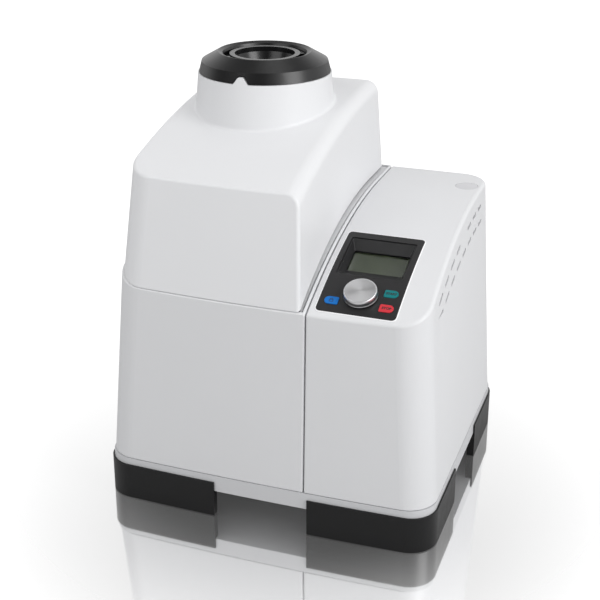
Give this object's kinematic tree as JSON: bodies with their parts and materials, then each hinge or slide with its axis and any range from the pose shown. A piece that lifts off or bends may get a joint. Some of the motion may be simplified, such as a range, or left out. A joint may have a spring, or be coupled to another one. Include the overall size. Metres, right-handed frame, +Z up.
{
  "type": "ultra centrifugal mill",
  "caption": "Bench-top centrifugal mill: hinged grinding lid with a black feed ring on the left, sloping control column with display, knob and keys on the right, on corner feet.",
  "frame": {"origin": "middle of the footprint, on the surface the instrument stands on", "axes": "+X to the right as its user sees it, +Y to the rear, +Z up"},
  "size_m": [0.41, 0.3646, 0.5149],
  "materials": {
    "body_paint": "satin light grey coating",
    "lid_paint": "satin near-white coating",
    "base_paint": "satin light grey coating",
    "foot_plastic": "black moulded plastic",
    "pad_rubber": "matt rubber",
    "ring_plastic": "satin black moulded plastic",
    "insert_plastic": "satin black moulded plastic",
    "steel": "brushed stainless steel",
    "shaft_steel": "ground steel",
    "hinge_steel": "bright steel",
    "motor_alloy": "cast aluminium",
    "motor_iron": "laminated iron",
    "seal_rubber": "soft sealing ring",
    "panel_plastic": "dark grey satin plastic",
    "frame_plastic": "near-black satin plastic",
    "board": "green circuit board",
    "glass": "clear display glass",
    "lcd": "grey-green display",
    "knob_metal": "turned aluminium",
    "key_blue": "blue key",
    "key_teal": "teal key",
    "key_red": "red key",
    "cap_plastic": "light grey plastic",
    "black_plastic": "black plastic",
    "converter_metal": "folded aluminium"
  },
  "bodies": {
    "base": {"base_frame": "base_paint", "foot_front_left": "foot_plastic", "foot_front_right": "foot_plastic", "foot_rear_left": "foot_plastic", "foot_rear_right": "foot_plastic", "foot_pads": "pad_rubber", "left_casing": "body_paint", "right_casing": "body_paint", "mill_deck": "steel", "deck_posts": "hinge_steel", "deck_screws": "hinge_steel", "motor_housing": "motor_alloy", "motor_stator": "motor_iron", "motor_flange": "motor_alloy", "motor_bearings": "shaft_steel", "labyrinth_disc": "steel", "cassette_pan": "steel", "ring_sieve": "steel", "cassette_cover": "steel", "hinge_brackets": "hinge_steel", "lock_housing": "black_plastic", "lid_switch": "black_plastic", "control_panel": "panel_plastic", "key_board": "board", "encoder_body": "black_plastic", "display_frame": "frame_plastic", "display_window": "glass", "lcd_module": "lcd", "display_board": "board", "stand_socket": "black_plastic", "converter_box": "converter_metal", "heat_sink": "converter_metal", "power_board": "board", "rear_panel": "converter_metal", "fan_frame": "black_plastic", "mains_inlet": "black_plastic", "switch_frame": "black_plastic"},
    "lid": {"lid_shell": "lid_paint", "lid_liner": "converter_metal", "liner_posts": "converter_metal", "lid_striker": "hinge_steel", "lid_seal": "seal_rubber", "feed_tube": "steel", "hinge_arms": "hinge_steel", "hinge_pins": "shaft_steel"},
    "feed_ring": {"funnel_ring": "ring_plastic"},
    "insert": {"feed_insert": "insert_plastic"},
    "rotor": {"motor_shaft": "shaft_steel", "motor_core": "motor_iron", "rotor": "steel"},
    "knob_stem": {"knob_spindle": "shaft_steel"},
    "knob": {"knob": "knob_metal"},
    "lock_key": {"lock_key": "key_blue"},
    "start_key": {"start_key": "key_teal"},
    "stop_key": {"stop_key": "key_red"},
    "rocker": {"mains_rocker": "black_plastic"},
    "drawer": {"fuse_drawer": "black_plastic"},
    "fan": {"fan_rotor": "black_plastic"},
    "bolt": {"lock_bolt": "shaft_steel"},
    "cap": {"socket_cap": "cap_plastic"}
  },
  "joints": [
    {"name": "lid_hinge", "type": "hinge", "parent": "base", "child": "lid", "pos_m": [-0.076, 0.1774, 0.349], "axis": [-1, 0, 0], "range_deg": [0, 70]},
    {"name": "feed_ring_lift", "type": "slide", "parent": "lid", "child": "feed_ring", "axis": [0, 0, 1], "range_m": [0, 0.04]},
    {"name": "insert_twist", "type": "hinge", "parent": "feed_ring", "child": "insert", "pos_m": [-0.076, 0.0474, 0.5], "axis": [0, 0, 1], "range_deg": [0, 20]},
    {"name": "rotor_spin", "type": "hinge", "parent": "base", "child": "rotor", "pos_m": [-0.076, 0.0474, 0.28], "axis": [0, 0, 1], "continuous": true},
    {"name": "knob_push", "type": "slide", "parent": "base", "child": "knob_stem", "axis": [0, 0.3992, -0.9169], "range_m": [0, 0.001], "stiffness_N_per_m": 1200, "springref_m": -0.0006},
    {"name": "knob_turn", "type": "hinge", "parent": "knob_stem", "child": "knob", "pos_m": [0.1065, -0.1395, 0.29154], "axis": [0, -0.3992, 0.9169], "continuous": true},
    {"name": "lock_key_press", "type": "slide", "parent": "base", "child": "lock_key", "axis": [0, 0.3992, -0.9169], "range_m": [0, 0.0006], "stiffness_N_per_m": 1000, "springref_m": -0.0006},
    {"name": "start_key_press", "type": "slide", "parent": "base", "child": "start_key", "axis": [0, 0.3992, -0.9169], "range_m": [0, 0.0006], "stiffness_N_per_m": 1000, "springref_m": -0.0006},
    {"name": "stop_key_press", "type": "slide", "parent": "base", "child": "stop_key", "axis": [0, 0.3992, -0.9169], "range_m": [0, 0.0006], "stiffness_N_per_m": 1000, "springref_m": -0.0006},
    {"name": "rocker_tilt", "type": "hinge", "parent": "base", "child": "rocker", "pos_m": [0.125, 0.1765, 0.126], "axis": [1, 0, 0], "range_deg": [0, 14]},
    {"name": "fuse_drawer_slide", "type": "slide", "parent": "base", "child": "drawer", "axis": [0, 1, 0], "range_m": [0, 0.014]},
    {"name": "fan_spin", "type": "hinge", "parent": "base", "child": "fan", "pos_m": [0.104, 0.16, 0.222], "axis": [0, 1, 0], "continuous": true},
    {"name": "lock_bolt_slide", "type": "slide", "parent": "base", "child": "bolt", "axis": [1, 0, 0], "range_m": [0, 0.012]},
    {"name": "cap_lift", "type": "slide", "parent": "base", "child": "cap", "axis": [0, 0, 1], "range_m": [0, 0.025]}
  ]
}
